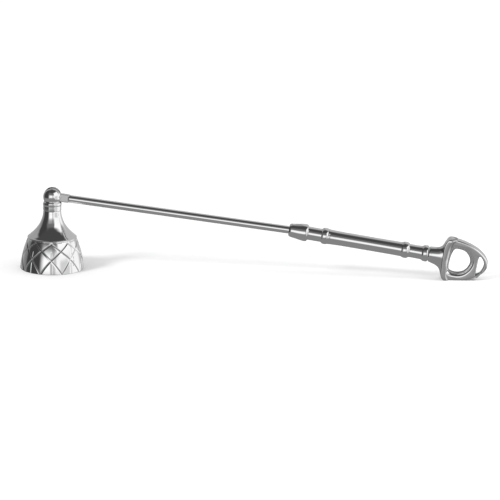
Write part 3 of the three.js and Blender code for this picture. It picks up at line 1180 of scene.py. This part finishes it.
@dataclass
class Stirrup:
    """The stirrup-shaped end: shank, tread bar and arch with its two openings (millimetres)."""

    layout: Layout
    seam_radius: float
    centre: float = -0.6
    half_up: float = 13.3
    half_down: float = 13.9
    face: float = 8.7
    arch_start: float = 12.9
    arch_tip: float = 37.7
    corner: float = 8.5
    depth: float = 6.8
    tread_depth: float = 11.0
    arch_power: float = 1.85
    opening: tuple[Point, ...] = (
        (15.1, 5.0), (16.2, 6.1), (18.0, 6.35), (20.2, 6.15), (22.3, 5.6), (24.1, 4.3),
        (25.5, 2.5), (26.3, 0.5), (26.4, -1.2), (25.9, -3.0), (24.9, -4.9), (23.1, -6.8),
        (20.8, -7.9), (18.2, -8.3), (15.8, -8.1), (14.2, -7.3), (13.6, -5.8), (13.6, -3.0),
        (13.9, 0.5), (14.4, 3.0))
    strap_slot: tuple[Point, ...] = (
        (31.5, 3.9), (32.4, 4.4), (33.7, 3.4), (34.9, 1.4), (35.3, -0.8), (34.9, -3.4),
        (34.1, -5.4), (33.0, -7.4), (32.1, -8.6), (31.3, -8.2), (31.1, -6.0), (31.2, -1.0),
        (31.3, 2.4))

    def build(self) -> bpy.types.Object:
        """Joins the arch, the tread bar and the shank, and flattens the foot.

        Returns:
            The finished piece.
        """
        made = self.arch()
        combine(made, self.tread_bar(), "UNION")
        combine(made, self.shank(), "UNION")
        combine(made, self.table(), "DIFFERENCE")
        flat_weighted(made, 32.0)
        return made

    def left_edge(self, share: float) -> Point:
        """A point up the tread's outer side, whose two ends bend towards the arch.

        Args:
            share: -1 at the lower end, 1 at the upper.

        Returns:
            The point.
        """
        size = abs(share)
        reach = self.half_up if share > 0 else -self.half_down
        bend = self.corner / abs(reach)
        t = max(0.0, (size - (1 - bend)) / bend)
        u = self.face + (self.arch_start - self.face) * t ** 2
        v = min(size, 1 - bend) + bend * (2 * t - t ** 2)
        return u, self.centre + reach * v

    def outline(self) -> list[Point]:
        """The outside of the stirrup: the bent tread side, and an arch that is a superellipse.

        Returns:
            The outline's points.
        """
        left = [self.left_edge(share) for share in np.linspace(-1.0, 1.0, 61)]
        power, right = 2 / self.arch_power, []
        for angle in np.linspace(math.pi / 2, -math.pi / 2, 97)[1:-1]:
            u = math.cos(angle) ** power
            v = math.copysign(abs(math.sin(angle)) ** power, math.sin(angle))
            half = self.half_up if v > 0 else self.half_down
            right.append((self.arch_start + (self.arch_tip - self.arch_start) * u,
                          self.centre + half * v))
        return left + right

    @staticmethod
    def loop(knots: Sequence[Point]) -> list[Point]:
        """A smooth curve round through knots, straight from the last to the first.

        Args:
            knots: the points that it passes.

        Returns:
            The curve's points.
        """
        steps, spare = 6, 2
        around = [*knots[-spare:], *knots, *knots[:spare]]
        return flowing(around, steps)[spare * steps:-spare * steps]

    def arch(self) -> bpy.types.Object:
        """The flat arch with the strap slot and the large opening, whose sides bulge to a ridge.

        Returns:
            The piece, before the tread bar and the shank are joined to it.
        """
        half = self.depth / 2
        flare = [(3.0, 0.0), (2.6, 0.05), (2.28, 0.15), (1.93, 0.35), (1.55, 0.7), (1.15, 1.18),
                 (0.78, 1.75), (0.42, 2.5), (0.0, half)]
        loops = [(self.outline(), quarter_round(1.0, 8)), (self.loop(self.opening), flare),
                 (self.loop(self.strap_slot), quarter_round(0.7, 8))]
        # The last two edge rows inside both openings are darkened: painted shade on their inner
        # walls.
        return plate("stirrup_cast", loops, self.depth, self.layout.seam(), 2)

    def tread_bar(self) -> bpy.types.Object:
        """The wide bar that the shank joins, rounder on its inner side, with rounded ends.

        Returns:
            The bar.
        """
        reach, rounding = 0.985, 0.28
        solid = Solid()
        rings = []
        for share in np.sin(np.linspace(-1.0, 1.0, 57) * math.pi / 2):
            u, v = self.left_edge(share * reach)
            end = max(0.0, (abs(share) - (1 - rounding)) / rounding)
            size = math.sqrt(max(0.0, 1 - min(end, 1.0) ** 2))
            closed = size < 1e-3
            rings.append(solid.ring([(u + 1.4, 0.0, v)] if closed else self._section(u, v, size)))
        solid.loft(rings)
        return solid.finish("tread_bar", self.layout.seam())

    def _section(self, edge: float, height: float, size: float) -> list:
        """A level section of the tread bar, of two half superellipses back to back.

        Args:
            edge: where its outer side is, along the grip.
            height: how far up the bar it is.
            size: 1 along the bar, falling to 0 at its ends.

        Returns:
            The section's points.
        """
        rise = min(max((height + 7.0) / 6.0, 0.0), 1.0)
        inner = 0.9 + 2.3 * rise
        outer = 5.0 + 0.07 * height - inner
        middle = edge + 0.05 + outer * size ** 0.5
        half = self.tread_depth / 2 * (0.5 + 0.5 * size)
        round_side, flat_side = (inner, 2 / 2.2, 2 / 2.8), (outer, 2 / 7.0, 2 / 9.0)
        points = []
        for angle in spokes(72):
            c, s = math.cos(angle), math.sin(angle)
            width, along, across = round_side if c > 0 else flat_side
            points.append((middle + math.copysign(abs(c) ** along, c) * (width * size ** 0.5),
                           math.copysign(abs(s) ** across, s) * half, height))
        return points

    def shank(self) -> bpy.types.Object:
        """The trumpet from the seam's circle to the tread bar.

        Returns:
            The shank.
        """
        seam = [(0.05, self.seam_radius - 0.5), (0.45, self.seam_radius + 0.03)]
        along = (2.2, 4.6, 6.3, 7.5, 8.4, 9.2)
        reaches = ((5.0, 5.3, 5.75, 6.6, 8.2, 10.4), (5.35, 6.1, 7.0, 8.05, 9.6, 11.6),
                   (4.8, 4.75, 4.75, 4.8, 4.9, 5.0))
        above, below, beside = (flowing([*seam, *zip(along, reach)]) for reach in reaches)
        angles = spokes(96)
        solid = Solid()
        rings = [solid.ring([(seam[0][0], 0.0, 0.0)])]
        for (u, up), (_, down), (_, side) in zip(above, below, beside):
            points = [(u, side * math.cos(a), (up if math.sin(a) >= 0 else down) * math.sin(a))
                      for a in angles]
            # The ring at the seam is darkened: painted shade in the seam.
            rings.append(solid.ring(points, 1.0 if u < 0.3 else 0.0))
        inside = 10.5
        rings.append(solid.ring([(inside, 4.6 * math.cos(a), self.centre + 10.0 * math.sin(a))
                                 for a in angles]))
        rings.append(solid.ring([(inside, 0.0, self.centre)]))
        solid.loft(rings)
        return solid.finish("shank", self.layout.seam())

    def table(self) -> bpy.types.Object:
        """The space below the surface that the object lies on.

        Returns:
            The cutter.
        """
        spot, size = self.layout.seam().translation, 0.1
        mesh = bpy.data.meshes.new("table")
        work = bmesh.new()
        bmesh.ops.create_cube(work, size=size)
        work.to_mesh(mesh)
        work.free()
        mesh.transform(Matrix.Translation((spot.x, 0.0, -size / 2)))
        return dressed_mesh("table", mesh)


# ---------------------------------------------------------------- studio


@dataclass(frozen=True)
class Studio:
    """Camera, floor and light (metres)."""

    azimuth: float = math.radians(4.0)
    elevation: float = math.radians(14.2)
    roll: float = math.radians(0.655)
    distance: float = 3.4664
    focal_length: float = 396.0
    aim: tuple[float, float, float] = (-0.00222, 0.0, 0.01505)
    key_from: tuple[float, float, float] = (-1.08, -0.80, 1.0)
    key_energy: float = 1.55
    key_spread: float = math.radians(15.0)
    fill_from: tuple[float, float, float] = (0.26, -0.03, 0.13)
    fill_aim: tuple[float, float, float] = (0.16, 0.01, 0.0)
    fill_energy: float = 0.11
    fill_size: float = 0.06
    floor_half: float = 12.0
    matt_level: float = 0.83
    backdrop_level: float = 1.0

    def towards_camera(self) -> Vector:
        """The way from the object to the camera.

        Returns:
            A unit vector.
        """
        level = math.cos(self.elevation)
        return Vector((math.sin(self.azimuth) * level, -math.cos(self.azimuth) * level,
                       math.sin(self.elevation)))

    def camera(self) -> None:
        """Places the camera and makes it the scene's."""
        data = bpy.data.cameras.new("camera")
        data.lens = self.focal_length
        data.sensor_width = 36.0
        data.clip_end = 50.0
        made = bpy.data.objects.new("camera", data)
        bpy.context.scene.collection.objects.link(made)
        back = self.towards_camera()
        turn = back.to_track_quat("Z", "Y").to_matrix().to_4x4()
        place = Matrix.Translation(Vector(self.aim) + back * self.distance)
        made.matrix_world = place @ turn @ Matrix.Rotation(self.roll, 4, "Z")
        bpy.context.scene.camera = made

    def floor(self) -> None:
        """A plain pale floor, which mirrors on the object leave to the studio's own grey."""
        mesh = bpy.data.meshes.new("floor")
        half = self.floor_half
        mesh.from_pydata([(-half, -half, 0), (half, -half, 0), (half, half, 0), (-half, half, 0)],
                         [], [(0, 1, 2, 3)])
        made = bpy.data.objects.new("floor", mesh)
        bpy.context.scene.collection.objects.link(made)
        material = bpy.data.materials.new("pale_floor")
        material.use_nodes = True
        graph = Graph(material.node_tree)
        shader = graph.node("ShaderNodeBsdfPrincipled", None, {
            "Base Color": (0.93, 0.93, 0.93, 1.0), "Roughness": 0.9,
            "Specular IOR Level": 0.0}, "BSDF")
        graph.node("ShaderNodeOutputMaterial", None, {"Surface": shader})
        mesh.materials.append(material)
        made.visible_glossy = False

    def lights(self) -> None:
        """A broad key from the left and the front, a small fill by the stirrup, and the studio."""
        key = bpy.data.lights.new("key", "SUN")
        key.energy = self.key_energy
        key.angle = self.key_spread
        self._hang(key, Vector(self.key_from), Vector())
        fill = bpy.data.lights.new("fill", "AREA")
        fill.shape = "DISK"
        fill.size = self.fill_size
        fill.energy = self.fill_energy
        self._hang(fill, Vector(self.fill_from), Vector(self.fill_aim))
        self.surroundings()

    @staticmethod
    def _hang(data: bpy.types.Light, spot: Vector, aim: Vector) -> None:
        """Hangs a light that isn't mirrored in the object.

        Args:
            data: its light data.
            spot: where it hangs.
            aim: the point that it faces.
        """
        made = bpy.data.objects.new(data.name, data)
        bpy.context.scene.collection.objects.link(made)
        turn = (spot - aim).to_track_quat("Z", "Y").to_matrix().to_4x4()
        made.matrix_world = Matrix.Translation(spot) @ turn
        made.visible_glossy = False

    def surroundings(self) -> None:
        """The studio seen in the plating, and the even light on matt surfaces and the backdrop."""
        world = bpy.data.worlds.new("studio")
        bpy.context.scene.world = world
        world.use_nodes = True
        graph = Graph(world.node_tree)
        direction = graph.node("ShaderNodeTexCoord", output="Generated")
        parts = graph.node("ShaderNodeSeparateXYZ", None, {0: direction}).socket.node
        x, y, z = (Wire(graph, parts.outputs[i]) for i in range(3))
        cosine, sine = math.cos(self.azimuth), math.sin(self.azimuth)
        right = x * cosine + y * sine
        front = x * sine - y * cosine
        around = right.math("ARCTAN2", front) * math.degrees(1.0)
        up = z.math("ARCSINE") * math.degrees(1.0)
        seen = self._studio_light(around, up)
        path = graph.node("ShaderNodeLightPath").socket.node
        to_eye = Wire(graph, path.outputs["Is Camera Ray"])
        to_matt = Wire(graph, path.outputs["Is Diffuse Ray"])
        level = seen * (1 - to_matt) + self.matt_level * to_matt
        level = level * (1 - to_eye) + self.backdrop_level * to_eye
        background = graph.node("ShaderNodeBackground", None, {
            "Color": (1.0, 1.0, 1.0, 1.0), "Strength": level})
        graph.node("ShaderNodeOutputWorld", None, {"Surface": background})

    @staticmethod
    def _round_the_horizon(around: Wire, first: float,
                           changes: Sequence[tuple[float, float, float]]) -> Wire:
        """Brightness that goes from level to level round the horizon.

        Args:
            around: degrees from straight behind the camera, positive to the right.
            first: the level at the far left.
            changes: (start, end, level) of each change, from left to right.

        Returns:
            The brightness.
        """
        seen, before = first, first
        for start, end, after in changes:
            seen = seen + (after - before) * around.step(start, end)
            before = after
        return seen

    def _studio_light(self, around: Wire, up: Wire) -> Wire:
        """Brightness of the studio in a direction: floor, soft boxes and dark openings.

        Args:
            around: degrees from straight behind the camera, positive to the right.
            up: degrees above the horizon.

        Returns:
            The brightness.
        """
        floor, dark, ceiling, back = 0.275, 0.055, 0.07, 0.55
        low = self._round_the_horizon(around, 0.42, [
            (-150.0, -118.0, 0.24), (-116.0, -100.0, dark), (-50.0, -24.0, 1.20),
            (0.0, 6.0, 0.66), (12.0, 20.0, 1.10), (116.0, 138.0, back)])
        low = low - 0.35 * around.between(32.0, 70.0, 12.0) * (1 - up.step(4.0, 14.0))
        high = self._round_the_horizon(around, 0.40, [
            (-124.0, -108.0, dark), (-64.0, -42.0, 0.18), (20.0, 32.0, 1.20),
            (88.0, 98.0, 0.35), (108.0, 124.0, back)])
        behind = around.math("ABSOLUTE").step(108.0, 128.0)
        top = up.step(44.0, 58.0) * (1 - behind) + up.step(56.0, 86.0) * behind
        seen = low + (high - low) * up.step(9.0, 33.0)
        seen = seen + (ceiling - seen) * top
        front = 1 - around.math("ABSOLUTE").step(22.0, 46.0)
        beside = around.between(14.0, 115.0, 16.0)
        horizon = up - 9.0 * front + 12.0 * beside * (1 - front)
        return floor + (seen - floor) * horizon.step(-26.0, -8.0)


# ---------------------------------------------------------------- the whole


def main() -> None:
    """Builds the snuffer, dresses it, lights it and reports each piece."""
    logging.basicConfig(level=logging.INFO, format="%(name)s: %(message)s")
    joint = next(j for j in frame["joints"] if j["name"] == "bell_swing")
    layout = Layout(Vector(joint["pos_m"]))
    studio = Studio()
    studio.camera()
    studio.floor()
    studio.lights()
    bpy.context.scene.view_settings.view_transform = "Standard"
    finishes = {name: finish.material() for name, finish in FINISHES.items()}
    Bell(layout, finishes).build()
    Handle(layout, finishes).build()
    drift = layout.seam().translation.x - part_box("stirrup")[0].x
    log.info("the seam is %.2f mm from the CAD stirrup's near end", drift / MM)
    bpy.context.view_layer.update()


if __name__ == "__main__":
    main()
